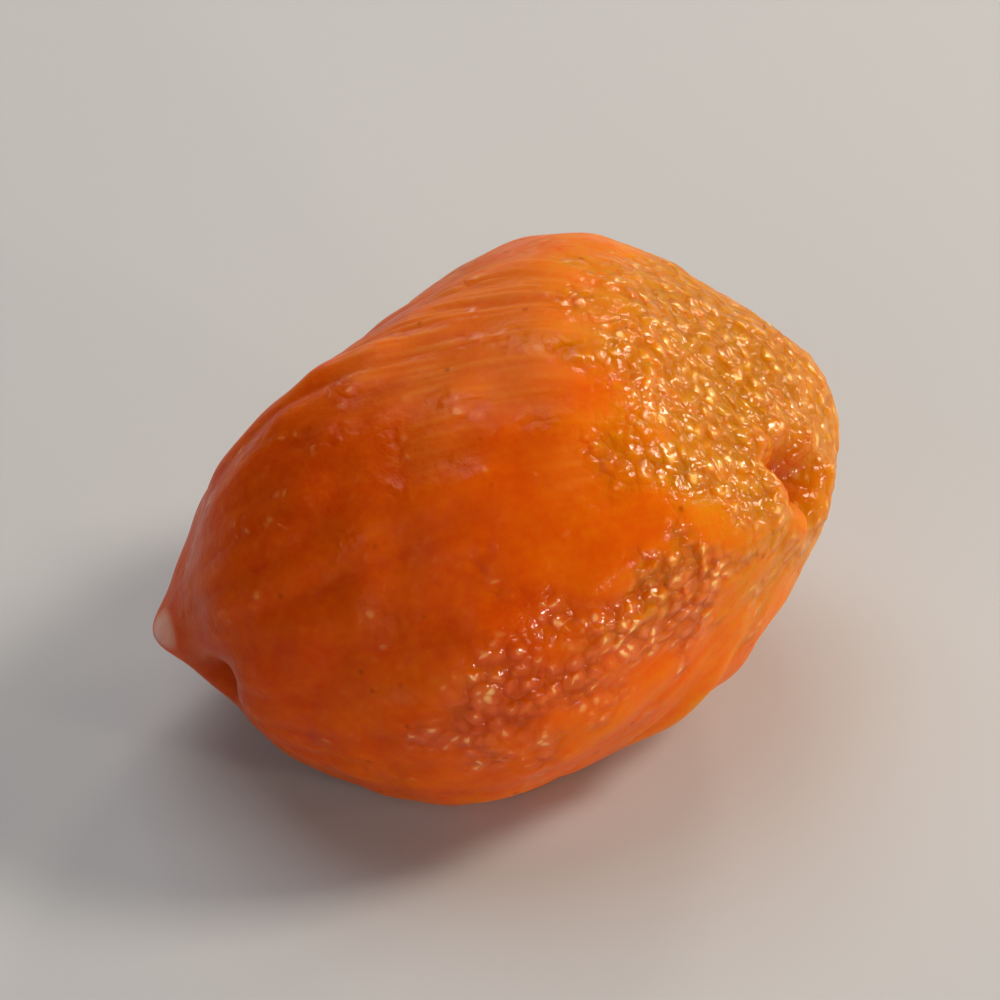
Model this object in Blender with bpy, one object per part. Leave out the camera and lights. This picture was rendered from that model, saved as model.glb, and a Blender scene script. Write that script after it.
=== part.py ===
"""A dried plum: one whole fruit, plump and soft, pointed at its tip and hollow where the stem was.

The fruit lies on its broad side. Its own axis runs from the tip, at -X, to the stem end, at +X, which is
the fatter end and lies a little higher. +Z is up and -Y is the side that shows the stem hollow. The origin
is on the surface that the fruit rests on, below the middle of its bounding box. Lengths are in metres.
"""

import math

import bmesh
import bpy
import numpy as np
from mathutils import Matrix

MM = 0.001

# Driving sizes of the fruit, along its own axes.
LENGTH = 32.4 * MM
WIDTH = 26.9 * MM
THICKNESS = 24.4 * MM

# How the egg narrows towards the tip, as a share of its half width.
TAPER = 0.015

# How far the stem end is raised as the fruit lies on its tapered side.
LIE_TILT = math.radians(14.0)

# The soft underside spreads on what it rests on: the depth pressed flat, and the height over which the flat
# rounds off into the sides.
PRESSED_DEPTH = 1.0 * MM
PRESSED_ROUNDING = 0.45 * MM

# Flats that the neighbours pressed into the soft fruit: the way each faces in the fruit's own axes, and its
# distance from the middle as a share of the plain egg's radius that way.
FLATS = (
    ((-0.97, 0.22, 0.02), 0.865),
    ((-0.24, 0.67, 0.70), 0.85),
    ((0.40, -0.89, -0.23), 0.90),
    ((0.08, -0.77, -0.63), 0.935),
    ((-0.47, 0.88, 0.11), 0.87),
    ((-0.48, 0.19, -0.86), 0.88),
    ((0.73, -0.44, 0.53), 0.92),
    ((0.75, 0.22, 0.62), 0.975),
)
FLAT_SHARPNESS = 17.0

# The stem hollow: where it lies, and the size of its pit and of the puckered lip round it. The pit is oval,
# and a few folds run into it.
STEM_DIRECTION = (0.885, -0.445, 0.085)
PIT_DEPTH = 1.7 * MM
PIT_RADIUS = 1.3 * MM
PIT_OVAL = 0.16
PIT_FOLDS = 5
PIT_FOLD_SHARE = 0.12
LIP_HEIGHT = 0.38 * MM
LIP_RADIUS = 2.6 * MM
LIP_WIDTH = 1.2 * MM
PUCKERS = 7
PUCKER_SHARE = 0.35

# The far rim of the stem end, which swells out beside the hollow.
RIM_DIRECTION = (1.0, 0.07, -0.02)
RIM_HEIGHT = 0.45 * MM
RIM_SPREAD = math.radians(11.0)

# The tip: a small pointed beak, and the notch beside it, which runs up the near side as a crease.
TIP_DIRECTION = (-0.99, 0.12, 0.0)
TIP_LENGTH = 3.0 * MM
TIP_SPREAD = math.radians(10.5)
TIP_ROUNDING = math.radians(3.0)
CREASE_START = (-0.99, -0.11, -0.08)
CREASE_END = (-0.63, -0.53, 0.56)
CREASE_DEPTH = 2.0 * MM
CREASE_WIDTH = 1.1 * MM

# Relief: broad swellings, and the wrinkles that run from the stem to the tip. The wrinkles' heights are
# counted from the middle of their range, their creases are rounded, and they fade towards both ends.
SWELLING_HEIGHT = 0.25 * MM
SWELLING_LENGTH = 13.0 * MM
WRINKLE_HEIGHT = 0.12 * MM
WRINKLE_SPACING = 4.2 * MM
WRINKLE_STRETCH = 3.5
WRINKLE_ROUNDING = 0.35
WRINKLE_MIDDLE = 0.85
WRINKLE_FADE = 1.5
WAVES = 36

# Seeds of the random waves.
SWELLING_SEED = 3
WRINKLE_SEED = 5

# Mesh: segments round the axis, rings along it, and how much closer the rings lie at the two ends.
SEGMENTS = 88
RINGS = 56
RING_CROWDING = 0.18


def unit(vector):
    """The vector or vectors at length 1."""
    vector = np.asarray(vector, float)
    return vector / np.linalg.norm(vector, axis=-1, keepdims=True)


def angle_between(directions, axis):
    """The angle from the axis to each direction."""
    return np.arccos(np.clip(directions @ unit(axis), -1.0, 1.0))


def bell(offset, width):
    """A smooth bump: 1 at no offset, and nearly 0 two widths away."""
    return np.exp(-((offset / width) ** 2))


def ripples(points, seed, wavelength):
    """Smooth random relief with a spread of about 1: plane cosine waves in seeded directions, added up."""
    random = np.random.default_rng(seed)
    directions = unit(random.normal(size=(WAVES, 3)))
    lengths = wavelength * random.uniform(0.75, 1.35, WAVES)
    phases = random.uniform(0.0, 2.0 * math.pi, WAVES)
    waves = 2.0 * math.pi * directions / lengths[:, None]
    return np.cos(points @ waves.T + phases).sum(axis=1) / math.sqrt(WAVES / 2.0)


def egg_radius(directions):
    """The plain egg: an ellipsoid whose width shrinks from the stem end to the tip."""
    x, y, z = directions.T
    narrowing = 1.0 - TAPER * x
    across = np.hypot(y / (WIDTH / 2.0), z / (THICKNESS / 2.0)) * narrowing
    return 1.0 / np.hypot(x / (LENGTH / 2.0), across)


def pressed_radius(directions):
    """The egg with its flats. The inverse radii of the egg and of each plane add up as a power mean."""
    total = egg_radius(directions) ** -FLAT_SHARPNESS
    for facing, share in FLATS:
        normal = unit(facing)
        distance = share * egg_radius(normal[None, :])[0]
        total += (np.clip(directions @ normal, 0.0, None) / distance) ** FLAT_SHARPNESS
    return total ** (-1.0 / FLAT_SHARPNESS)


def stem_hollow(directions, radius, turn):
    """The height that the stem hollow adds: a pit, and a raised lip that the drying drew into puckers.

    The distance from the pit's middle swings with the turn, which makes the pit oval and folds its wall.
    """
    away = angle_between(directions, STEM_DIRECTION) * radius
    puckered = 1.0 + PUCKER_SHARE * np.cos(PUCKERS * turn + 2.0 * np.sin(turn))
    lip = LIP_HEIGHT * puckered * bell(away - LIP_RADIUS, LIP_WIDTH)
    folded = 1.0 + PIT_OVAL * np.cos(2.0 * turn) + PIT_FOLD_SHARE * np.cos(PIT_FOLDS * turn)
    return lip - PIT_DEPTH * bell(away * folded, PIT_RADIUS)


def rim_swelling(directions):
    """The height that the far rim of the stem end adds, as a bell over the angle from its middle."""
    return RIM_HEIGHT * bell(angle_between(directions, RIM_DIRECTION), RIM_SPREAD)


def tip_beak(directions, radius):
    """The height that the tip adds: the beak, less the crease, whose depth runs out towards its end.

    The beak falls off with the angle from its point as an exponential does, rounded at the point itself.
    """
    off_point = np.hypot(angle_between(directions, TIP_DIRECTION), TIP_ROUNDING) - TIP_ROUNDING
    beak = TIP_LENGTH * np.exp(-off_point / TIP_SPREAD)
    start, end = unit(CREASE_START), unit(CREASE_END)
    along = np.clip((directions - start) @ (end - start) / ((end - start) @ (end - start)), 0.0, 1.0)
    away = np.linalg.norm(directions - start - along[:, None] * (end - start), axis=1) * radius
    return beak - CREASE_DEPTH * (1.0 - along) * bell(away, CREASE_WIDTH)


def relief(points, way, turn):
    """The height of the swellings and the wrinkles.

    The wrinkles are round ridges with narrow creases between them. They are worked out on a cylinder that
    the way and the turn are wrapped on, stretched along it, so that they run together at both ends, where
    they fade.
    """
    swelling = SWELLING_HEIGHT * ripples(points, SWELLING_SEED, SWELLING_LENGTH)
    half = WIDTH / 2.0
    wrapped = half * np.column_stack([way / WRINKLE_STRETCH, np.cos(turn), np.sin(turn)])
    wrinkle = np.hypot(ripples(wrapped, WRINKLE_SEED, WRINKLE_SPACING), WRINKLE_ROUNDING) - WRINKLE_MIDDLE
    return swelling + WRINKLE_HEIGHT * wrinkle * np.sin(way) ** WRINKLE_FADE


def lines_of_growth(way, turn):
    """The directions, from the fruit's middle, of lines that run from the stem, way 0, to the tip, way pi.

    They start as the meridians of a sphere. The nearer a direction is to an end of the X axis, the more it
    is moved as that end is moved to reach the stem or the tip.
    """
    across = np.sin(way)
    plain = np.column_stack([np.cos(way), across * np.cos(turn), across * np.sin(turn)])
    for end, place in ((1.0, STEM_DIRECTION), (-1.0, TIP_DIRECTION)):
        nearness = ((1.0 + end * np.cos(way)) / 2.0) ** 2
        plain = plain + nearness[:, None] * (unit(place) - np.array([end, 0.0, 0.0]))
    return unit(plain)


def fruit_points(way, turn):
    """The fruit's surface at each way from the stem to the tip and turn about its axis, in its own axes."""
    directions = lines_of_growth(way, turn)
    radius = pressed_radius(directions)
    ends = stem_hollow(directions, radius, turn) + rim_swelling(directions) + tip_beak(directions, radius)
    radius = radius + ends
    radius = radius + relief(directions * radius[:, None], way, turn)
    return directions * radius[:, None]


def lie_down(points):
    """Tilts the fruit, presses its underside flat and puts the origin under the middle of its box.

    Below the pressed depth the height is exactly 0, and over the rounding it rises as a parabola.
    """
    cos, sin = math.cos(LIE_TILT), math.sin(LIE_TILT)
    x, y, z = points.T
    x, z = cos * x - sin * z, sin * x + cos * z
    z = z - z.min() - PRESSED_DEPTH - PRESSED_ROUNDING
    rising = np.clip(z + PRESSED_ROUNDING, 0.0, 2.0 * PRESSED_ROUNDING) ** 2 / (4.0 * PRESSED_ROUNDING)
    z = np.where(z < PRESSED_ROUNDING, rising, z)
    return np.column_stack([x - (x.min() + x.max()) / 2.0, y - (y.min() + y.max()) / 2.0, z])


def plum_material():
    """Cooked and dried plum flesh: translucent orange, with a sticky gloss."""
    material = bpy.data.materials.new("dried_plum_flesh")
    material.use_nodes = True
    shader = material.node_tree.nodes["Principled BSDF"]
    shader.inputs["Base Color"].default_value = (0.66, 0.15, 0.010, 1.0)
    shader.inputs["Roughness"].default_value = 0.28
    shader.inputs["Metallic"].default_value = 0.0
    return material


def make_plum(collection):
    """The whole fruit, as one closed body."""
    mesh = bpy.data.meshes.new("dried_plum")
    sphere = bmesh.new()
    bmesh.ops.create_uvsphere(
        sphere,
        u_segments=SEGMENTS,
        v_segments=RINGS,
        radius=1.0,
        matrix=Matrix.Rotation(math.pi / 2.0, 4, "Y"),
    )
    bmesh.ops.triangulate(sphere, faces=sphere.faces)
    sphere.to_mesh(mesh)
    sphere.free()
    places = np.empty(len(mesh.vertices) * 3, np.float32)
    mesh.vertices.foreach_get("co", places)
    x, y, z = unit(places.reshape(-1, 3)).T
    way = np.arccos(np.clip(x, -1.0, 1.0))
    crowded = way - RING_CROWDING * np.sin(2.0 * way)
    points = lie_down(fruit_points(crowded, np.arctan2(z, y)))
    mesh.vertices.foreach_set("co", points.astype(np.float32).ravel())
    mesh.update()
    mesh.shade_smooth()
    mesh.materials.append(plum_material())
    plum = bpy.data.objects.new("dried_plum", mesh)
    collection.objects.link(plum)
    return plum


def main():
    for old in list(bpy.data.objects):
        bpy.data.objects.remove(old)
    collection = bpy.data.collections.new("dried_plum")
    bpy.context.scene.collection.children.link(collection)
    make_plum(collection)


main()
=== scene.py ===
"""A dried plum as it looks: its fine skin and glazed flesh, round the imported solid, in a plain pale studio.

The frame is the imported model's: metres, +Z up, +X from the fruit's tip to its stem end, and -Y the side that
shows the stem hollow. The form follows the same formulas as the solid, on a grid fine enough for the grain of
the skin. All surfaces are worked out as whole arrays.
"""

import logging
import math
from dataclasses import dataclass, field
from enum import Enum

import bpy
import numpy as np
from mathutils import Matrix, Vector


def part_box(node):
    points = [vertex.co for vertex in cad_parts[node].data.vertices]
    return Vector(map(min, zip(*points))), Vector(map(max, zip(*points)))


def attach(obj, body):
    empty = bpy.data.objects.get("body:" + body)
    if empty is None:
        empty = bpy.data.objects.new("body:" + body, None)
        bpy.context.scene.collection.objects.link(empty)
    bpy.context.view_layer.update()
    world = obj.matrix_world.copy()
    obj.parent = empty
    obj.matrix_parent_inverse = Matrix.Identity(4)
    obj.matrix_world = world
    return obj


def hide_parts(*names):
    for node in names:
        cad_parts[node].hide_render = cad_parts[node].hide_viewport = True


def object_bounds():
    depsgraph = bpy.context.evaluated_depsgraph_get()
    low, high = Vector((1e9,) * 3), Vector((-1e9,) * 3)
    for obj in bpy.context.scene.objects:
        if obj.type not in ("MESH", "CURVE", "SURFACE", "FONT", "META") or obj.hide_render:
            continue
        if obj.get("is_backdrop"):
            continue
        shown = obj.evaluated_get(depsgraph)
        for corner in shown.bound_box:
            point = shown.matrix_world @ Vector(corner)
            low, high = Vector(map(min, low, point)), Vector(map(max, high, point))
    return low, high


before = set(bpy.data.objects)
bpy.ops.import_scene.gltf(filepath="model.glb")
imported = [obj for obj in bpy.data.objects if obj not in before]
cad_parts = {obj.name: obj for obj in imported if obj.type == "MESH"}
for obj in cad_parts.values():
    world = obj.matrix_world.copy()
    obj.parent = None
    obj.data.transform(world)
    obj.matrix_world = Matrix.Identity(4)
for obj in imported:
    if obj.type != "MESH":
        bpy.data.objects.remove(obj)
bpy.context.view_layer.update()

MM = 0.001
NODE = "dried_plum"
BODY = "root"
WARM = "#FFF0DC"
NEUTRAL = "#FFFFFF"

Array = np.ndarray
Triple = tuple[float, float, float]
Socket = bpy.types.NodeSocket
Tree = bpy.types.NodeTree
Object = bpy.types.Object
Inputs = dict[str | int, object]

# A colour Mix node's sockets go by number, because its other kinds share their names.
MIX_FACTOR = 0
MIX_FIRST = 6
MIX_SECOND = 7
MIX_RESULT = 2

log = logging.getLogger("dried_plum")


class Zone(Enum):
    """Shares that the skin carries at each of its points, for the flesh to read."""

    # Partly the flesh's own colour and partly painted light, warmer towards the lit stem end.
    WARMTH = "warmth"
    GRAIN = "grain"
    # Painted shade: the darker red of the crease, the pit and the underside.
    DEPTH = "depth"
    # The dull veil, which roughens the flesh, and whose paler colour is painted sheen.
    VEIL_AND_SHEEN = "veil"
    # The stub, whose pale colour is a painted highlight.
    STUB = "stub"


def unit(vector: Array | Triple) -> Array:
    """The vector or vectors at length 1."""
    vector = np.asarray(vector, float)
    return vector / np.linalg.norm(vector, axis=-1, keepdims=True)


def angle_between(directions: Array, axis: Triple) -> Array:
    """The angle in radians from the axis to each direction."""
    return np.arccos(np.clip(directions @ unit(axis), -1.0, 1.0))


def bell(offset: Array, width: float) -> Array:
    """A smooth bump: 1 at no offset, and nearly 0 two widths away."""
    return np.exp(-((offset / width) ** 2))


def from_line(directions: Array, start: Triple, end: Triple) -> tuple[Array, Array]:
    """Measures directions against the straight line between two others, all taken at length 1.

    Args:
        directions: rows of unit vectors.
        start: where the line starts.
        end: where it ends.

    Returns:
        How far along the line its nearest point lies, from 0 to 1, and the distance to that point.
    """
    first, step = unit(start), unit(end) - unit(start)
    along = np.clip((directions - first) @ step / (step @ step), 0.0, 1.0)
    return along, np.linalg.norm(directions - first - along[:, None] * step, axis=1)


def linear(hex_colour: str) -> tuple[float, float, float, float]:
    """Turns an sRGB hex colour, such as "#C8560C", to the linear colour that a shader takes.

    Args:
        hex_colour: a hash mark and six hexadecimal digits.

    Returns:
        Linear red, green, blue and an alpha of 1.
    """
    shares = [int(hex_colour[k : k + 2], 16) / 255.0 for k in (1, 3, 5)]
    red, green, blue = (s / 12.92 if s <= 0.04045 else ((s + 0.055) / 1.055) ** 2.4 for s in shares)
    return red, green, blue, 1.0


def add_node(tree: Tree, kind: str, settings: dict[str, object], inputs: Inputs) -> bpy.types.Node:
    """Adds a node to a tree, sets its properties, and sets or links its inputs.

    Args:
        tree: the node tree.
        kind: Blender's name for the type of node, without the ShaderNode before it.
        settings: values of the node's own properties.
        inputs: for each input, by name or number, a value or the output socket that feeds it.

    Returns:
        The new node.
    """
    node = tree.nodes.new("ShaderNode" + kind)
    for name, value in settings.items():
        setattr(node, name, value)
    for key, value in inputs.items():
        if isinstance(value, Socket):
            tree.links.new(value, node.inputs[key])
        else:
            node.inputs[key].default_value = value
    return node


def set_ramp(node: bpy.types.Node, stops: tuple[tuple[float, str], ...]) -> None:
    """Gives a colour ramp its stops.

    Args:
        node: the ramp's node.
        stops: each stop's place from 0 to 1 and its sRGB hex colour, in rising order.
    """
    elements = node.color_ramp.elements
    while len(elements) < len(stops):
        elements.new(1.0)
    for element, (place, colour) in zip(elements, stops):
        element.position = place
        element.color = linear(colour)


@dataclass(frozen=True)
class Fade:
    """An ease from 0 at its start to 1 at its end. The end may be the lower of the two."""

    start: float
    end: float

    def at(self, value: Array) -> Array:
        """The share reached at each value: 3 times the square of the way there, less 2 times its cube."""
        way = np.clip((value - self.start) / (self.end - self.start), 0.0, 1.0)
        return way * way * (3.0 - 2.0 * way)


@dataclass(frozen=True)
class Span:
    """A number that goes straight from first to last as what it depends on goes from low to high."""

    low: float
    high: float
    first: float
    last: float

    def inputs(self, value: Socket) -> Inputs:
        """What a Map Range node takes to give the number.

        Args:
            value: the socket of what the number depends on.

        Returns:
            The node's inputs by name.
        """
        return {
            "Value": value,
            "From Min": self.low,
            "From Max": self.high,
            "To Min": self.first,
            "To Max": self.last,
        }


@dataclass(frozen=True)
class Noise:
    """A cloudy noise in the material: the size of its clouds, its finer layers, and how far it is bent."""

    size: float
    detail: float = 2.0
    roughness: float = 0.5
    distortion: float = 0.0

    def inputs(self, place: Socket) -> Inputs:
        """What a Noise Texture node takes to give the noise.

        Args:
            place: the socket of object coordinates.

        Returns:
            The node's inputs by name.
        """
        return {
            "Vector": place,
            "Scale": 1.0 / self.size,
            "Detail": self.detail,
            "Roughness": self.roughness,
            "Distortion": self.distortion,
        }


@dataclass(frozen=True)
class Ripples:
    """Smooth random relief with a spread of about 1.

    Plane cosine waves are added up. Their directions, lengths and phases are drawn from the seed.
    """

    seed: int
    wavelength: float
    waves: int = 36
    shortest: float = 0.75
    longest: float = 1.35

    def at(self, points: Array) -> Array:
        """The relief's height at each point.

        Args:
            points: rows of x, y, z in metres.

        Returns:
            One height for each point.
        """
        random = np.random.default_rng(self.seed)
        directions = unit(random.normal(size=(self.waves, 3)))
        lengths = self.wavelength * random.uniform(self.shortest, self.longest, self.waves)
        phases = random.uniform(0.0, 2.0 * math.pi, self.waves)
        waves = 2.0 * math.pi * directions / lengths[:, None]
        return np.cos(points @ waves.T + phases).sum(axis=1) / math.sqrt(self.waves / 2.0)


@dataclass(frozen=True)
class Flat:
    """A flat that a neighbour pressed into the soft fruit.

    It has the way it faces, and its distance from the middle as a share of the egg's radius that way.
    """

    facing: Triple
    share: float


@dataclass(frozen=True)
class Egg:
    """The plain fruit: an ellipsoid that narrows towards the tip, with its pressed flats."""

    length: float = 32.4 * MM
    width: float = 26.9 * MM
    thickness: float = 24.4 * MM
    taper: float = 0.015
    sharpness: float = 17.0
    flats: tuple[Flat, ...] = (
        Flat((-0.97, 0.22, 0.02), 0.865),
        Flat((-0.24, 0.67, 0.70), 0.85),
        Flat((0.40, -0.89, -0.23), 0.90),
        Flat((0.08, -0.77, -0.63), 0.935),
        Flat((-0.47, 0.88, 0.11), 0.87),
        Flat((-0.48, 0.19, -0.86), 0.88),
        Flat((0.73, -0.44, 0.53), 0.92),
        Flat((0.75, 0.22, 0.62), 0.975),
    )

    def plain_radius(self, directions: Array) -> Array:
        """The radius before the flats: an ellipsoid's, with its width shrunk in proportion to x.

        Args:
            directions: rows of unit vectors.

        Returns:
            One radius for each direction.
        """
        x, y, z = directions.T
        across = np.hypot(y / (self.width / 2.0), z / (self.thickness / 2.0)) * (1.0 - self.taper * x)
        return 1.0 / np.hypot(x / (self.length / 2.0), across)

    def radius(self, directions: Array) -> Array:
        """The radius with the flats: the inverse radii of the egg and of each plane add up as a power mean.

        Args:
            directions: rows of unit vectors.

        Returns:
            One radius for each direction.
        """
        total = self.plain_radius(directions) ** -self.sharpness
        for flat in self.flats:
            normal = unit(flat.facing)
            distance = flat.share * self.plain_radius(normal[None, :])[0]
            total += (np.clip(directions @ normal, 0.0, None) / distance) ** self.sharpness
        return total ** (-1.0 / self.sharpness)


@dataclass(frozen=True)
class StemEnd:
    """The hollow where the stem was, its lip that the drying drew into puckers, and the far rim beside it."""

    direction: Triple = (0.885, -0.445, 0.085)
    pit_depth: float = 1.7 * MM
    pit_radius: float = 1.3 * MM
    pit_oval: float = 0.16
    pit_folds: int = 5
    pit_fold_share: float = 0.12
    bare_radius: float = 1.625 * MM
    bare_share: float = 0.9
    lip_height: float = 0.38 * MM
    lip_radius: float = 2.6 * MM
    lip_width: float = 1.2 * MM
    puckers: int = 7
    pucker_share: float = 0.35
    pucker_sway: float = 2.0
    rim_direction: Triple = (1.0, 0.07, -0.02)
    rim_height: float = 0.45 * MM
    rim_spread: float = math.radians(11.0)

    def away(self, directions: Array, radius: Array) -> Array:
        """The distance along the skin from the middle of the hollow."""
        return angle_between(directions, self.direction) * radius

    def inside(self, directions: Array, radius: Array) -> Array:
        """How far each direction is inside the pit: a bell over the distance, 1 at its middle."""
        return bell(self.away(directions, radius), self.bare_radius)

    def height(self, directions: Array, radius: Array, turn: Array) -> Array:
        """The lip and the rim less the pit.

        The lip and the pit are bells over the distance, and the rim is one over the angle from its own
        middle. The lip's height swings with the turn. So does the pit's distance, which makes it oval and
        folds its wall.

        Args:
            directions: rows of unit vectors.
            radius: the egg's radius at each direction.
            turn: the turn of each direction about the fruit's axis.

        Returns:
            One height for each direction.
        """
        away = self.away(directions, radius)
        swing = np.cos(self.puckers * turn + self.pucker_sway * np.sin(turn))
        puckered = 1.0 + self.pucker_share * swing
        lip = self.lip_height * puckered * bell(away - self.lip_radius, self.lip_width)
        oval = self.pit_oval * np.cos(2.0 * turn)
        folded = 1.0 + oval + self.pit_fold_share * np.cos(self.pit_folds * turn)
        rim = self.rim_height * bell(angle_between(directions, self.rim_direction), self.rim_spread)
        return lip + rim - self.pit_depth * bell(away * folded, self.pit_radius)


@dataclass(frozen=True)
class Tip:
    """The small pointed beak with its stub, and the notch beside it, which runs up the near side.

    The stub's pale colour is a painted highlight.
    """

    direction: Triple = (-0.99, 0.12, 0.0)
    length: float = 3.0 * MM
    spread: float = math.radians(10.5)
    rounding: float = math.radians(3.0)
    crease_start: Triple = (-0.99, -0.11, -0.08)
    crease_end: Triple = (-0.63, -0.53, 0.56)
    crease_depth: float = 2.0 * MM
    crease_width: float = 1.1 * MM
    stub_direction: Triple = (-0.995, 0.07, 0.05)
    stub_spread: float = math.radians(3.2)
    stub_edge: Fade = Fade(1.25, 0.55)

    def beak(self, directions: Array) -> Array:
        """The beak's height, which falls off exponentially with the angle, rounded at the point."""
        off_point = np.hypot(angle_between(directions, self.direction), self.rounding) - self.rounding
        return self.length * np.exp(-off_point / self.spread)

    def crease(self, directions: Array, radius: Array) -> Array:
        """The crease as a share of its full depth: a bell across its line, running out towards the end."""
        along, away = from_line(directions, self.crease_start, self.crease_end)
        return (1.0 - along) * bell(away * radius, self.crease_width)

    def stub(self, directions: Array) -> Array:
        """The share of the stub's painted highlight, which fades over the angle from its middle."""
        return self.stub_edge.at(angle_between(directions, self.stub_direction) / self.stub_spread)

    def height(self, directions: Array, radius: Array) -> Array:
        """The beak less the crease."""
        return self.beak(directions) - self.crease_depth * self.crease(directions, radius)


@dataclass(frozen=True)
class Wrinkles:
    """Round ridges with narrow creases between them, which run from the stem to the tip.

    The way from the stem and the turn about the axis are wrapped on a cylinder, on which ripples are read.
    They are stretched along it, so the ridges run together at both ends, where they fade. The distance of a
    ripple from zero, as a hypotenuse with the rounding, gives the creases.
    """

    ripples: Ripples
    height: float
    stretch: float
    half_width: float = 13.45 * MM
    rounding: float = 0.35
    middle: float = 0.85
    fade: float = 1.5

    def at(self, way: Array, turn: Array) -> Array:
        """The height of the wrinkles.

        Args:
            way: the way from the stem, 0, to the tip, pi.
            turn: the turn about the axis.

        Returns:
            One height for each way and turn.
        """
        wrapped = self.half_width * np.column_stack([way / self.stretch, np.cos(turn), np.sin(turn)])
        ridge = np.hypot(self.ripples.at(wrapped), self.rounding) - self.middle
        return self.height * ridge * np.clip(np.sin(way), 0.0, 1.0) ** self.fade


@dataclass(frozen=True)
class Skin:
    """What the solid is too coarse for: soft dimples, fine lengthwise streaks, and a grain of tiny beads.

    The grain is full on the stem end, lies in clusters along a band low on the near side, and strays over
    the rest in places. A dull veil, drawn out in streaks, lies on the upper side; it dulls the flesh, and its
    paler colour is painted sheen. The three fade over a distance that is 1 at their reach. Patches move
    their edges, and clusters break up the grain's.
    """

    dimples: Ripples = Ripples(11, 3.2 * MM)
    dimple_height: float = 0.045 * MM
    streaks: Wrinkles = Wrinkles(Ripples(17, 0.80 * MM), 0.008 * MM, 10.0, fade=0.6)
    streak_patches: Ripples = Ripples(19, 9.0 * MM)
    streak_edge: Fade = Fade(-0.6, 0.8)
    beads: Ripples = Ripples(23, 0.80 * MM, 60)
    bead_height: float = 0.030 * MM
    bead_floor: float = -0.8
    crinkles: Ripples = Ripples(37, 1.25 * MM, 48)
    crinkle_height: float = 0.055 * MM
    crinkle_rounding: float = 0.35
    crinkle_crest: float = 0.7
    crinkle_floor: float = -0.3
    crinkle_edge: Fade = Fade(1.6, 0.9)
    clusters: Ripples = Ripples(31, 2.6 * MM)
    patches: Ripples = Ripples(29, 5.0 * MM)
    grain_wave: float = 0.10
    grain_floor: float = 0.05
    stray_grain: float = 0.28
    stray_edge: Fade = Fade(0.5, 1.9)
    stem_patch: Triple = (0.90, -0.22, 0.36)
    stem_reach: float = math.radians(35.0)
    stem_breakup: float = 0.16
    stem_edge: Fade = Fade(1.55, 0.45)
    band_start: Triple = (-0.30, -0.93, 0.10)
    band_end: Triple = (0.48, -0.86, 0.16)
    band_reach: float = 0.27
    band_breakup: float = 0.30
    band_edge: Fade = Fade(1.4, 0.1)
    band_start_share: float = 0.975
    band_rise: float = 0.325
    veil_direction: Triple = (0.15, -0.02, 0.98)
    veil_reach: float = math.radians(34.0)
    veil_wave: float = 0.15
    veil_edge: Fade = Fade(1.1, 0.5)
    veil_cut: Fade = Fade(0.1, 0.5)
    veil_streaks: float = 4.8

    def from_stem(self, directions: Array, points: Array) -> Array:
        """The angle from the middle of the stem patch: 1 is the reach of the grain, with a wavy edge."""
        away = angle_between(directions, self.stem_patch) / self.stem_reach
        return away + self.grain_wave * self.patches.at(points)

    def grain(self, directions: Array, points: Array, from_stem: Array) -> Array:
        """The share of the full grain at each point, thinner between its clusters.

        Args:
            directions: the unit direction of each point.
            points: the points in the fruit's own axes.
            from_stem: the angle from the stem patch, 1 at the grain's reach.

        Returns:
            One share for each point, from the floor to a little over 1 in the band.
        """
        clusters = self.clusters.at(points)
        stem = self.stem_edge.at(from_stem - self.stem_breakup * clusters)
        along, away = from_line(directions, self.band_start, self.band_end)
        waves = self.grain_wave * self.patches.at(points) - self.band_breakup * clusters
        inside = self.band_edge.at(away / self.band_reach + waves)
        band = (self.band_start_share + self.band_rise * along) * inside
        stray = self.grain_floor + self.stray_grain * self.stray_edge.at(clusters)
        return np.maximum(stray, np.maximum(stem, band))

    def veil(self, directions: Array, points: Array, grain: Array) -> Array:
        """The share of the dull veil at each point: a patch on the upper side, which the grain cuts off.

        Its paler colour is painted sheen.

        Args:
            directions: the unit direction of each point.
            points: the points in the fruit's own axes.
            grain: the share of the full grain at each point.

        Returns:
            One share from 0 to 1 for each point.
        """
        away = angle_between(directions, self.veil_direction) / self.veil_reach
        patch = self.veil_edge.at(away + self.veil_wave * self.patches.at(points))
        return patch * (1.0 - self.veil_cut.at(grain))

    def height(self, points: Array, streak: Array, grain: Array, veil: Array, from_stem: Array) -> Array:
        """The height of the dimples, the streaks in their patches and under the veil, crinkles and beads.

        A bead is the part of its ripples above a low floor, so that the ground between beads is flat. A
        crinkle is the rounded crest where its ripples pass through zero, and keeps to the stem end.

        Args:
            points: the points in the fruit's own axes.
            streak: the height of the plain streaks at each point.
            grain: the share of the full grain at each point.
            veil: the share of the veil at each point.
            from_stem: the angle from the stem patch, 1 at the grain's reach.

        Returns:
            One height for each point.
        """
        dimples = self.dimple_height * self.dimples.at(points)
        patch = self.streak_edge.at(self.streak_patches.at(points)) + self.veil_streaks * veil
        off_crest = np.hypot(self.crinkles.at(points), self.crinkle_rounding)
        crests = np.clip(self.crinkle_crest - off_crest, self.crinkle_floor, None)
        crinkles = self.crinkle_height * crests * self.crinkle_edge.at(from_stem)
        beads = self.bead_height * np.clip(self.beads.at(points), self.bead_floor, None)
        return dimples + patch * streak + (crinkles + beads) * grain


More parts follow.
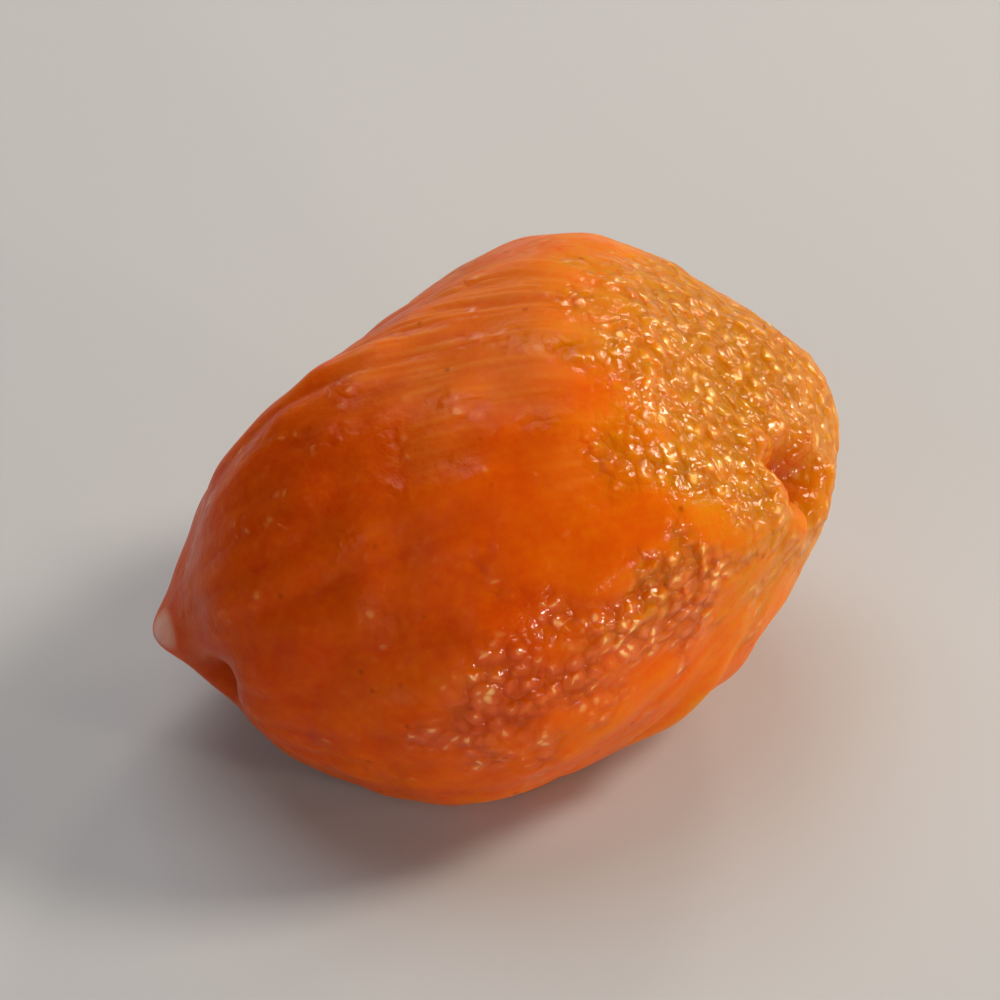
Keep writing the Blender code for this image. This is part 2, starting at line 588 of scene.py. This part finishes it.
@dataclass(frozen=True)
class Tone:
    """How warm, deep and veiled the flesh looks from place to place.

    Warmth picks the flesh's colour, from 0, the red orange of the tip's end, to 1, the gold of the stem face.
    Its rise to the lit stem end, the gold of that face and the warmer wrinkle ridges are partly the flesh's
    own colour and partly painted light. Depth is the share of painted shade, the darker red of the crease,
    the pit and the underside.
    """

    # The warmth's slope and gold are partly painted light.
    middle: float = 0.395
    rise_to_stem: float = 0.25
    rise_to_top: float = -0.08
    wrinkle_gain: float = 0.8 / MM
    golden_share: float = 0.36
    golden_edge: Fade = Fade(1.8, 0.6)
    grain_share: float = 0.06
    streak_share: float = 0.04
    streak_middle: float = 0.5
    streak_edge: Fade = Fade(-0.3, 0.7)
    # Shares of painted shade, a darker red, in the crease, the pit and on the underside.
    crease_shade_share: float = 0.8
    pit_shade_share: float = 0.9
    underside_shade_share: float = 0.2
    underside_shade_edge: Fade = Fade(-0.30, -0.85)
    # Shares of the veil, whose paler colour is painted sheen.
    veil_share: float = 0.38
    veil_streak_share: float = 0.50
    # The share of the stub's painted highlight.
    stub_highlight_share: float = 0.85

    def warmth(
        self, directions: Array, wrinkle: Array, from_stem: Array, grain: Array, pale_streak: Array
    ) -> Array:
        """The warmth: a slope along the fruit and up it, and a share of each thing that makes it golden.

        The rise to the lit stem end, and the gold there and on the wrinkle ridges, are partly painted light.

        Args:
            directions: the unit direction of each point.
            wrinkle: the height of the wrinkles at each point, whose ridges are warmer, partly as painted
                light.
            from_stem: the angle from the stem patch, 1 at the grain's reach.
            grain: the share of the full grain at each point.
            pale_streak: the share of the fine streaks' ridges at each point.

        Returns:
            One warmth from 0 to 1 for each point.
        """
        slope = self.middle + self.rise_to_stem * directions[:, 0] + self.rise_to_top * directions[:, 2]
        golden = self.wrinkle_gain * wrinkle + self.golden_share * self.golden_edge.at(from_stem)
        fine = self.grain_share * grain + self.streak_share * (pale_streak - self.streak_middle)
        return np.clip(slope + golden + fine, 0.0, 1.0)

    def depth(self, directions: Array, crease: Array, pit: Array) -> Array:
        """The depth, which is painted shade: shares of the crease, of the pit and of the underside, added up.

        Args:
            directions: the unit direction of each point.
            crease: the crease as a share of its full depth at each point.
            pit: how far each point is inside the pit.

        Returns:
            One depth from 0 to 1 for each point.
        """
        underside = self.underside_shade_share * self.underside_shade_edge.at(directions[:, 2])
        return np.clip(self.crease_shade_share * crease + self.pit_shade_share * pit + underside, 0.0, 1.0)

    def veil(self, veil: Array, pale_streak: Array) -> Array:
        """The veil as it shows: strongest on the ridges of the fine streaks.

        It dulls the flesh, and its paler colour, which these ridges carry most, is painted sheen.
        """
        return (self.veil_share + self.veil_streak_share * pale_streak) * veil


@dataclass(frozen=True)
class GlazedFlesh:
    """Plum flesh, cooked in sugar and dried: translucent, with a sticky clear glaze over a fine grain.

    Light that goes in comes out some millimetres on, redder the further it went, so that edges glow and
    creases stay warm. The glaze gives sharp small glints on the beads and a soft sheen elsewhere. It thins
    out at glancing angles, so that the rim keeps its own colour, and in the hollows between beads, so that
    they stay dark between the glints. Painted shade darkens those hollows, and the tops of the beads are
    painted pale, partly as dried sugar and partly as painted glints.
    """

    name: str = "plum_flesh_cooked_in_sugar_and_dried"
    # From the red orange near the tip to the gold of the sugared stem face, which is partly painted light.
    shade_stops: tuple[tuple[float, str], ...] = (
        (0.0, "#CA3E02"),
        (0.35, "#DA5A03"),
        (0.6, "#DE6C02"),
        (0.8, "#D67A00"),
        (1.0, "#C87F00"),
    )
    mottles: Noise = Noise(2.2 * MM, 3.0, 0.55)
    mottle_share: float = 0.38
    speckles: Noise = Noise(0.60 * MM, 3.0, 0.55)
    speckle_share: float = 0.46
    # What lies on the flesh, and its share of the colour. The tint between the beads is painted shade,
    # the pale bead tops are partly sugar and partly painted glints, the veil's colour is painted sheen,
    # the crease colour is painted shade and the stub's colour is a painted highlight.
    painted_hollow_shade: str = "#C09848"
    painted_hollow_shade_share: Span = Span(0.16, 0.48, 0.0, 0.42)
    # Pale bead tops: partly dried sugar, partly painted glints.
    sugar_and_glint_colour: str = "#FCCE78"
    sugar_and_glint_share: Span = Span(0.15, 0.03, 0.0, 0.82)
    # The veil's paler colour is painted sheen.
    veil_sheen_colour: str = "#DE7422"
    # The crease colour is painted shade, in the crease, the pit and on the underside.
    deep_shade_colour: str = "#B83400"
    # The stub's pale colour is a painted highlight.
    stub_highlight_colour: str = "#E0A48C"
    # Soft-edged pores, in the cells that are drawn for one.
    spot_colour: str = "#8E2A04"
    spot_spacing: float = 1.4 * MM
    spot_size: float = 0.28 * MM
    spot_softness: float = 0.5
    spot_share: float = 0.50
    spotless_share: float = 0.65
    # Beads of dried syrup, as far apart as the photographed glints.
    bead_spacing: float = 0.72 * MM
    bead_rise: float = 0.24 * MM
    bead_bends: Noise = Noise(1.44 * MM)
    bead_bend: float = 0.60 * MM
    worms: Noise = Noise(1.30 * MM, 1.0, distortion=0.5)
    worm_share: float = 1.5
    worm_middle: float = 0.5
    hollow_middle: float = 0.24
    # The skin's real tooth is about 0.1 mm. It is drawn coarser, so that it shows.
    tooth: Noise = Noise(0.36 * MM)
    tooth_rise: float = 0.045 * MM
    # How light goes through the flesh, and how it is thrown back under the glaze.
    scatter: Span = Span(0.0, 0.9, 0.85, 0.45)
    scatter_distance: float = 2.6 * MM
    scatter_colours: Triple = (1.0, 0.30, 0.08)
    dullness: Noise = Noise(2.2 * MM)
    roughness: Span = Span(0.3, 0.7, 0.32, 0.50)
    veil_roughness: float = 0.12
    flesh_gloss: float = 0.15
    gloss_colour: str = "#FFB870"
    flesh_ior: float = 1.40
    # The glaze's weight over the grain and stub, over the angle, and over the hollows.
    glaze: Span = Span(0.0, 0.75, 0.06, 0.86)
    glancing_glaze: Span = Span(0.64, 0.96, 1.0, 0.15)
    hollow_glaze: Span = Span(0.16, 0.48, 1.0, 0.35)
    glaze_roughness: float = 0.12
    glaze_ior: float = 1.52

    def material(self) -> bpy.types.Material:
        """Builds the material.

        Returns:
            A material whose one shader is a Principled BSDF.
        """
        material = bpy.data.materials.new(self.name)
        material.use_nodes = True
        tree = material.node_tree
        shader = tree.nodes["Principled BSDF"]
        place = add_node(tree, "TexCoord", {}, {}).outputs["Object"]
        zones = {
            zone: add_node(tree, "Attribute", {"attribute_name": zone.value}, {}).outputs["Fac"]
            for zone in Zone
        }
        hollows = self._hollows(tree, place)
        normal = self._normal(tree, place, hollows, zones[Zone.GRAIN])
        scatter = add_node(tree, "MapRange", {}, self.scatter.inputs(zones[Zone.VEIL_AND_SHEEN]))
        varied = {
            "Base Color": self._colour(tree, place, hollows, zones),
            "Roughness": self._roughness(tree, place, zones[Zone.VEIL_AND_SHEEN]),
            "Normal": normal,
            "Subsurface Weight": scatter.outputs["Result"],
            "Coat Weight": self._glaze(tree, hollows, zones),
            "Coat Normal": normal,
        }
        for name, source in varied.items():
            tree.links.new(source, shader.inputs[name])
        even = {
            "IOR": self.flesh_ior,
            "Specular IOR Level": self.flesh_gloss,
            "Specular Tint": linear(self.gloss_colour),
            "Subsurface Radius": self.scatter_colours,
            "Subsurface Scale": self.scatter_distance,
            "Coat Roughness": self.glaze_roughness,
            "Coat IOR": self.glaze_ior,
        }
        for name, value in even.items():
            shader.inputs[name].default_value = value
        return material

    def _colour(self, tree: Tree, place: Socket, hollows: Socket, zones: dict[Zone, Socket]) -> Socket:
        """The flesh's colour: a ramp over the warmth, then what lies on it, from the hollows to the stub.

        Two noises, for broad mottles and small speckles, swing the warmth to both sides of its value. The
        hollows between beads are darkened with painted shade, and the rest covers it: the veil's painted
        sheen, pores, sugar and painted glints on the bead tops, the painted shade of creases and the stub's
        painted highlight.

        Args:
            tree: the node tree.
            place: object coordinates.
            hollows: how deep each place lies below the bead tops.
            zones: the shares that the skin carries.

        Returns:
            The socket of the colour.
        """
        warmth = zones[Zone.WARMTH]
        for noise, share in ((self.mottles, self.mottle_share), (self.speckles, self.speckle_share)):
            cloud = add_node(tree, "TexNoise", {}, noise.inputs(place))
            raised = add_node(
                tree, "Math", {"operation": "MULTIPLY_ADD"}, {0: cloud.outputs["Fac"], 1: share, 2: warmth}
            )
            centred = add_node(
                tree,
                "Math",
                {"operation": "SUBTRACT", "use_clamp": True},
                {0: raised.outputs[0], 1: share / 2.0},
            )
            warmth = centred.outputs[0]
        ramp = add_node(tree, "ValToRGB", {}, {"Fac": warmth})
        set_ramp(ramp, self.shade_stops)
        colour = ramp.outputs["Color"]
        grained = []
        for span in (self.painted_hollow_shade_share, self.sugar_and_glint_share):
            full = add_node(tree, "MapRange", {}, span.inputs(hollows))
            shown = add_node(
                tree,
                "Math",
                {"operation": "MULTIPLY", "use_clamp": True},
                {0: full.outputs["Result"], 1: zones[Zone.GRAIN]},
            )
            grained.append(shown.outputs[0])
        painted_shade_between_beads, sugar_and_glint_on_beads = grained
        # Painted shade between the beads and in the creases, painted sheen in the veil, sugar and painted
        # glints on the bead tops, and a painted highlight on the stub.
        overlays = (
            (painted_shade_between_beads, self.painted_hollow_shade, "MULTIPLY"),
            (zones[Zone.VEIL_AND_SHEEN], self.veil_sheen_colour, "MIX"),
            (self._spots(tree, place), self.spot_colour, "MIX"),
            (sugar_and_glint_on_beads, self.sugar_and_glint_colour, "MIX"),
            (zones[Zone.DEPTH], self.deep_shade_colour, "MIX"),
            (zones[Zone.STUB], self.stub_highlight_colour, "MIX"),
        )
        for share, shade, blend in overlays:
            mix = add_node(
                tree,
                "Mix",
                {"data_type": "RGBA", "blend_type": blend},
                {MIX_FACTOR: share, MIX_FIRST: colour, MIX_SECOND: linear(shade)},
            )
            colour = mix.outputs[MIX_RESULT]
        return colour

    def _spots(self, tree: Tree, place: Socket) -> Socket:
        """Small dark pores: a soft-edged disc round the point of a cell, in about a third of the cells.

        Args:
            tree: the node tree.
            place: object coordinates.

        Returns:
            The socket of the share of the spots' colour.
        """
        cells = add_node(
            tree, "TexVoronoi", {"feature": "F1"}, {"Vector": place, "Scale": 1.0 / self.spot_spacing}
        )
        edge = 0.5 * self.spot_size / self.spot_spacing
        soft = self.spot_softness * edge
        fade = Span(edge + soft, edge - soft, 0.0, self.spot_share)
        disc = add_node(tree, "MapRange", {}, fade.inputs(cells.outputs["Distance"]))
        lot = add_node(tree, "SeparateColor", {}, {"Color": cells.outputs["Color"]})
        drawn = add_node(
            tree, "Math", {"operation": "GREATER_THAN"}, {0: lot.outputs["Red"], 1: self.spotless_share}
        )
        spots = add_node(
            tree, "Math", {"operation": "MULTIPLY"}, {0: disc.outputs["Result"], 1: drawn.outputs[0]}
        )
        return spots.outputs[0]

    def _roughness(self, tree: Tree, place: Socket, veil: Socket) -> Socket:
        """The flesh's roughness, which varies a little from patch to patch and is higher under the veil.

        Args:
            tree: the node tree.
            place: object coordinates.
            veil: the share of the veil.

        Returns:
            The socket of the roughness.
        """
        patches = add_node(tree, "TexNoise", {}, self.dullness.inputs(place))
        spread = add_node(tree, "MapRange", {}, self.roughness.inputs(patches.outputs["Fac"]))
        duller = add_node(
            tree,
            "Math",
            {"operation": "MULTIPLY_ADD"},
            {0: veil, 1: self.veil_roughness, 2: spread.outputs["Result"]},
        )
        return duller.outputs[0]

    def _glaze(self, tree: Tree, hollows: Socket, zones: dict[Zone, Socket]) -> Socket:
        """The glaze's weight: it grows with the grain and on the stub, and two factors thin it out.

        One falls as the surface is seen at a flatter angle, and one with the depth between beads.

        Args:
            tree: the node tree.
            hollows: how deep each place lies below the bead tops.
            zones: the shares that the skin carries.

        Returns:
            The socket of the weight.
        """
        sticky = add_node(tree, "Math", {"operation": "ADD"}, {0: zones[Zone.GRAIN], 1: zones[Zone.STUB]})
        full = add_node(tree, "MapRange", {}, self.glaze.inputs(sticky.outputs[0]))
        weight = full.outputs["Result"]
        glancing = add_node(tree, "LayerWeight", {}, {}).outputs["Facing"]
        for span, cause in ((self.glancing_glaze, glancing), (self.hollow_glaze, hollows)):
            kept = add_node(tree, "MapRange", {}, span.inputs(cause))
            thinned = add_node(
                tree, "Math", {"operation": "MULTIPLY"}, {0: weight, 1: kept.outputs["Result"]}
            )
            weight = thinned.outputs[0]
        return weight

    def _hollows(self, tree: Tree, place: Socket) -> Socket:
        """How deep each place lies below the tops of the beads and of the worm-like ridges.

        A bead is a dome over one cell of a bent cell pattern. It falls off with the square of the distance
        from the cell's point, so that each one throws back a single small glint. A ridge runs where a noise
        passes through its middle value, and joins a few beads to one longer glint.

        Args:
            tree: the node tree.
            place: object coordinates.

        Returns:
            The socket of the depth, 0 on a top.
        """
        bend = add_node(tree, "TexNoise", {}, self.bead_bends.inputs(place))
        bent = add_node(
            tree,
            "VectorMath",
            {"operation": "MULTIPLY_ADD"},
            {0: bend.outputs["Color"], 1: (self.bead_bend,) * 3, 2: place},
        )
        cells = add_node(
            tree,
            "TexVoronoi",
            {"feature": "F1"},
            {"Vector": bent.outputs["Vector"], "Scale": 1.0 / self.bead_spacing},
        )
        away = cells.outputs["Distance"]
        fall = add_node(tree, "Math", {"operation": "MULTIPLY"}, {0: away, 1: away})
        worms = add_node(tree, "TexNoise", {}, self.worms.inputs(place))
        off_ridge = add_node(
            tree, "Math", {"operation": "SUBTRACT"}, {0: worms.outputs["Fac"], 1: self.worm_middle}
        )
        beside = add_node(tree, "Math", {"operation": "ABSOLUTE"}, {0: off_ridge.outputs[0]})
        both = add_node(
            tree,
            "Math",
            {"operation": "MULTIPLY_ADD"},
            {0: beside.outputs[0], 1: self.worm_share, 2: fall.outputs[0]},
        )
        return both.outputs[0]

    def _normal(self, tree: Tree, place: Socket, hollows: Socket, grain: Socket) -> Socket:
        """The finest relief: the beads and ridges where the grain is strong, and a faint tooth all over.

        Args:
            tree: the node tree.
            place: object coordinates.
            hollows: how deep each place lies below the bead tops.
            grain: the share of the full grain.

        Returns:
            The socket of the bumped normal.
        """
        tooth = add_node(tree, "TexNoise", {}, self.tooth.inputs(place))
        tooth_bump = add_node(
            tree, "Bump", {}, {"Distance": self.tooth_rise, "Height": tooth.outputs["Fac"]}
        )
        from_middle = add_node(tree, "Math", {"operation": "SUBTRACT"}, {0: hollows, 1: self.hollow_middle})
        bead_height = add_node(
            tree, "Math", {"operation": "MULTIPLY"}, {0: from_middle.outputs[0], 1: grain}
        )
        bead_bump = add_node(
            tree,
            "Bump",
            {"invert": True},
            {
                "Distance": self.bead_rise,
                "Height": bead_height.outputs[0],
                "Normal": tooth_bump.outputs["Normal"],
            },
        )
        return bead_bump.outputs["Normal"]


@dataclass
class DriedPlum:
    """The whole fruit: its form, its fine skin and its flesh."""

    name: str = "dried_plum_skin"
    egg: Egg = field(default_factory=Egg)
    stem: StemEnd = field(default_factory=StemEnd)
    tip: Tip = field(default_factory=Tip)
    skin: Skin = field(default_factory=Skin)
    tone: Tone = field(default_factory=Tone)
    flesh: GlazedFlesh = field(default_factory=GlazedFlesh)
    swellings: Ripples = Ripples(3, 13.0 * MM)
    swelling_height: float = 0.25 * MM
    wrinkles: Wrinkles = Wrinkles(Ripples(5, 4.2 * MM), 0.12 * MM, 3.5)
    lie_tilt: float = math.radians(14.0)
    pressed_depth: float = 1.0 * MM
    pressed_rounding: float = 0.45 * MM
    rings: int = 217
    segments: int = 460
    ring_crowding: float = 0.10

    def grid(self) -> tuple[Array, Array]:
        """The way and the turn of each vertex: the stem's pole, then ring after ring, then the tip's pole.

        Returns:
            The way from the stem, 0, to the tip, pi, and the turn about the axis, one of each for a vertex.
        """
        way = np.linspace(0.0, math.pi, self.rings + 1)
        way = way - self.ring_crowding * np.sin(2.0 * way)
        turn = np.arange(self.segments) * 2.0 * math.pi / self.segments
        ways, turns = np.meshgrid(way[1:-1], turn, indexing="ij")
        ways = np.concatenate([[0.0], ways.ravel(), [math.pi]])
        return ways, np.concatenate([[0.0], turns.ravel(), [0.0]])

    def faces(self) -> list[list[int]]:
        """The faces of the grid, pointing outwards: a fan at each pole and quads between the rings.

        Returns:
            The vertex numbers of each face.
        """
        here = np.arange(self.segments)
        following = np.roll(here, -1)
        first, last = 1, 1 + (self.rings - 2) * self.segments
        pole = last + self.segments
        stem_fan = np.column_stack([np.zeros_like(here), first + here, first + following])
        tip_fan = np.column_stack([np.full_like(here, pole), last + following, last + here])
        ring = first + self.segments * np.arange(self.rings - 2)[:, None]
        next_ring = ring + self.segments
        corners = [ring + here, next_ring + here, next_ring + following, ring + following]
        quads = np.stack(corners, axis=-1).reshape(-1, 4)
        return stem_fan.tolist() + quads.tolist() + tip_fan.tolist()

    def lines_of_growth(self, way: Array, turn: Array) -> Array:
        """The directions, from the fruit's middle, of lines that run from the stem to the tip.

        They start as the meridians of a sphere. The nearer a direction is to an end of the X axis, the more
        it is moved as that end is moved to reach the stem or the tip.

        Args:
            way: the way from the stem, 0, to the tip, pi.
            turn: the turn about the axis.

        Returns:
            One unit direction for each way and turn.
        """
        across = np.sin(way)
        plain = np.column_stack([np.cos(way), across * np.cos(turn), across * np.sin(turn)])
        for end, place in ((1.0, self.stem.direction), (-1.0, self.tip.direction)):
            nearness = ((1.0 + end * np.cos(way)) / 2.0) ** 2
            plain = plain + nearness[:, None] * (unit(place) - np.array([end, 0.0, 0.0]))
        return unit(plain)

    def surface(self) -> tuple[Array, dict[Zone, Array]]:
        """Works out the skin, and the zones that the flesh reads.

        The radius is the pressed egg's, plus the hollow, the beak and the crease, the swellings and the
        wrinkles, and last the fine skin.

        Returns:
            The points of the skin in the fruit's own axes, and each zone's share at each point.
        """
        way, turn = self.grid()
        directions = self.lines_of_growth(way, turn)
        egg = self.egg.radius(directions)
        radius = egg + self.stem.height(directions, egg, turn) + self.tip.height(directions, egg)
        wrinkle = self.wrinkles.at(way, turn)
        swelling = self.swelling_height * self.swellings.at(directions * radius[:, None])
        radius = radius + swelling + wrinkle
        points = directions * radius[:, None]

        pit = self.stem.inside(directions, egg)
        from_stem = self.skin.from_stem(directions, points)
        grain = self.skin.grain(directions, points, from_stem) * (1.0 - self.stem.bare_share * pit)
        veil = self.skin.veil(directions, points, grain)
        streak = self.skin.streaks.at(way, turn)
        radius = radius + self.skin.height(points, streak, grain, veil, from_stem)

        pale_streak = self.tone.streak_edge.at(streak / self.skin.streaks.height)
        # Warmth is partly painted light; the deep shade, the veil's colour and the stub's colour paint shade,
        # sheen and a highlight.
        zones = {
            Zone.WARMTH: self.tone.warmth(directions, wrinkle, from_stem, grain, pale_streak),
            Zone.GRAIN: grain,
            Zone.DEPTH: self.tone.depth(directions, self.tip.crease(directions, egg), pit),
            Zone.VEIL_AND_SHEEN: self.tone.veil(veil, pale_streak),
            Zone.STUB: self.tone.stub_highlight_share * self.tip.stub(directions),
        }
        return directions * radius[:, None], zones

    def lie_down(self, points: Array) -> Array:
        """Tilts the fruit and presses its underside flat on z = 0.

        Below the pressed depth the height is exactly 0, and over the rounding it rises as a parabola.

        Args:
            points: the points in the fruit's own axes.

        Returns:
            The points as the fruit lies, not yet moved sideways.
        """
        cos, sin = math.cos(self.lie_tilt), math.sin(self.lie_tilt)
        x, y, z = points.T
        x, z = cos * x - sin * z, sin * x + cos * z
        z = z - z.min() - self.pressed_depth - self.pressed_rounding
        rising = np.clip(z + self.pressed_rounding, 0.0, 2.0 * self.pressed_rounding) ** 2
        z = np.where(z < self.pressed_rounding, rising / (4.0 * self.pressed_rounding), z)
        return np.column_stack([x, y, z])

    def fit_to_frame(self, points: Array) -> Array:
        """Brings the points' box onto the solid's box, by a shift and a slight stretch on each axis.

        Args:
            points: the points as the fruit lies.

        Returns:
            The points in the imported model's frame.
        """
        low, high = (np.array(corner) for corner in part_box(NODE))
        own_low, own_high = points.min(axis=0), points.max(axis=0)
        return low + (points - own_low) * (high - low) / (own_high - own_low)

    def build(self) -> Object:
        """Builds the fruit's object in place of the plain solid.

        Returns:
            The finished object, riding on its body.
        """
        points, zones = self.surface()
        points = self.fit_to_frame(self.lie_down(points))
        mesh = bpy.data.meshes.new(self.name)
        mesh.from_pydata(points, [], self.faces())
        for zone, shares in zones.items():
            attribute = mesh.attributes.new(zone.value, "FLOAT", "POINT")
            attribute.data.foreach_set("value", shares.astype(np.float32))
        mesh.shade_smooth()
        mesh.materials.append(self.flesh.material())
        plum = bpy.data.objects.new(self.name, mesh)
        bpy.context.scene.collection.objects.link(plum)
        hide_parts(NODE)
        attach(plum, BODY)
        return plum


@dataclass(frozen=True)
class PaperFinish:
    """Seamless paper, its pulp rolled matt: a soft, even, pale floor with no gloss."""

    name: str = "white_seamless_paper_rolled_matt"
    colour: str = "#C2C4C6"
    roughness: float = 0.95
    gloss: float = 0.2

    def material(self) -> bpy.types.Material:
        """Builds the material.

        Returns:
            A material whose one shader is a Principled BSDF.
        """
        material = bpy.data.materials.new(self.name)
        material.use_nodes = True
        shader = material.node_tree.nodes["Principled BSDF"]
        shader.inputs["Base Color"].default_value = linear(self.colour)
        shader.inputs["Roughness"].default_value = self.roughness
        shader.inputs["Specular IOR Level"].default_value = self.gloss
        return material


def stand_round(piece: Object, target: Vector, azimuth: float, elevation: float, distance: float) -> None:
    """Stands a light or a camera round the fruit, facing it.

    Args:
        piece: the light's or the camera's object.
        target: the point that it faces.
        azimuth: degrees round the fruit, 0 in front on the -Y side and 90 at the stem end.
        elevation: degrees above the floor.
        distance: metres from the target.
    """
    turn, rise = math.radians(azimuth), math.radians(elevation)
    outward = Vector((math.sin(turn) * math.cos(rise), -math.cos(turn) * math.cos(rise), math.sin(rise)))
    piece.location = target + outward * distance
    piece.rotation_mode = "QUATERNION"
    piece.rotation_quaternion = outward.to_track_quat("Z", "Y")


@dataclass(frozen=True)
class SoftBox:
    """A square studio light, warm or neutral, that faces the fruit."""

    name: str
    azimuth: float
    elevation: float
    distance: float
    size: float
    power: float
    colour: str = NEUTRAL

    def build(self, target: Vector) -> Object:
        """Builds the light.

        Args:
            target: the point that it faces.

        Returns:
            The light's object.
        """
        light = bpy.data.lights.new(self.name, "AREA")
        light.shape = "SQUARE"
        light.size = self.size
        light.energy = self.power
        light.color = linear(self.colour)[:3]
        lamp = bpy.data.objects.new(self.name, light)
        bpy.context.scene.collection.objects.link(lamp)
        stand_round(lamp, target, self.azimuth, self.elevation, self.distance)
        return lamp


@dataclass
class Studio:
    """The floor, the lights, the pale surround and the camera at the photograph's angle."""

    floor_half: float = 1.5
    paper: PaperFinish = field(default_factory=PaperFinish)
    lights: tuple[SoftBox, ...] = (
        SoftBox("key_soft_box", 82.0, 42.0, 0.50, 0.12, 1.40, WARM),
        SoftBox("side_soft_box", 108.0, 15.0, 0.50, 0.08, 0.50, WARM),
        SoftBox("far_side_soft_box", 138.0, 28.0, 0.50, 0.08, 0.38, WARM),
        SoftBox("near_side_soft_box", 38.0, 12.0, 0.50, 0.045, 0.45, WARM),
        SoftBox("low_soft_box", 15.0, 6.0, 0.50, 0.042, 0.56, WARM),
        SoftBox("low_far_soft_box", 70.0, 6.0, 0.50, 0.045, 0.32, WARM),
        SoftBox("top_soft_box", 186.0, 70.0, 0.70, 0.55, 2.1),
        SoftBox("back_soft_box", 178.0, 13.0, 0.70, 0.25, 0.35),
        SoftBox("front_soft_box", -45.0, 30.0, 0.90, 0.80, 1.36),
    )
    horizon_colour: str = "#DCDCDA"
    zenith_colour: str = "#585858"
    zenith_start: float = 0.6
    surround_strength: float = 0.10
    camera_azimuth: float = -19.1
    camera_elevation: float = 40.0
    lens_mm: float = 250.0
    sensor_mm: float = 36.0
    frame_width: float = 47.0 * MM

    def build(self) -> list[Object]:
        """Builds the whole studio round the fruit.

        Returns:
            The floor, the lights and the camera.
        """
        low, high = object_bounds()
        middle = (low + high) / 2.0
        floor = self._floor()
        lamps = [box.build(middle) for box in self.lights]
        self._surround()
        camera = self._camera(middle)
        bpy.context.scene.view_settings.view_transform = "Standard"
        return [floor, *lamps, camera]

    def _floor(self) -> Object:
        """A wide level sheet of paper at z = 0.

        Returns:
            The floor's object.
        """
        half = self.floor_half
        mesh = bpy.data.meshes.new("floor")
        corners = [(-half, -half, 0.0), (half, -half, 0.0), (half, half, 0.0), (-half, half, 0.0)]
        mesh.from_pydata(corners, [], [(0, 1, 2, 3)])
        mesh.materials.append(self.paper.material())
        floor = bpy.data.objects.new("floor", mesh)
        bpy.context.scene.collection.objects.link(floor)
        floor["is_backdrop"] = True
        return floor

    def _surround(self) -> None:
        """A pale surround that is brightest at the horizon and dims overhead."""
        world = bpy.data.worlds.new("surround")
        bpy.context.scene.world = world
        world.use_nodes = True
        tree = world.node_tree
        direction = add_node(tree, "TexCoord", {}, {}).outputs["Generated"]
        height = add_node(tree, "SeparateXYZ", {}, {"Vector": direction}).outputs["Z"]
        ramp = add_node(tree, "ValToRGB", {}, {"Fac": height})
        set_ramp(ramp, ((0.0, self.horizon_colour), (self.zenith_start, self.zenith_colour)))
        background = tree.nodes["Background"]
        tree.links.new(ramp.outputs["Color"], background.inputs["Color"])
        background.inputs["Strength"].default_value = self.surround_strength

    def _camera(self, target: Vector) -> Object:
        """A long lens that frames the fruit from above its near side.

        Args:
            target: the point in the middle of the picture.

        Returns:
            The camera's object.
        """
        lens = bpy.data.cameras.new("camera")
        lens.lens = self.lens_mm
        lens.sensor_width = self.sensor_mm
        camera = bpy.data.objects.new("camera", lens)
        bpy.context.scene.collection.objects.link(camera)
        distance = self.frame_width * self.lens_mm / self.sensor_mm
        stand_round(camera, target, self.camera_azimuth, self.camera_elevation, distance)
        bpy.context.scene.camera = camera
        return camera


def main() -> None:
    """Builds the fruit and then the studio round it, and reports each piece."""
    logging.basicConfig(level=logging.INFO, format="%(name)s: %(message)s")
    plum = DriedPlum().build()
    log.info("built %s with %d vertices", plum.name, len(plum.data.vertices))
    for piece in Studio().build():
        log.info("built %s", piece.name)


if __name__ == "__main__":
    main()
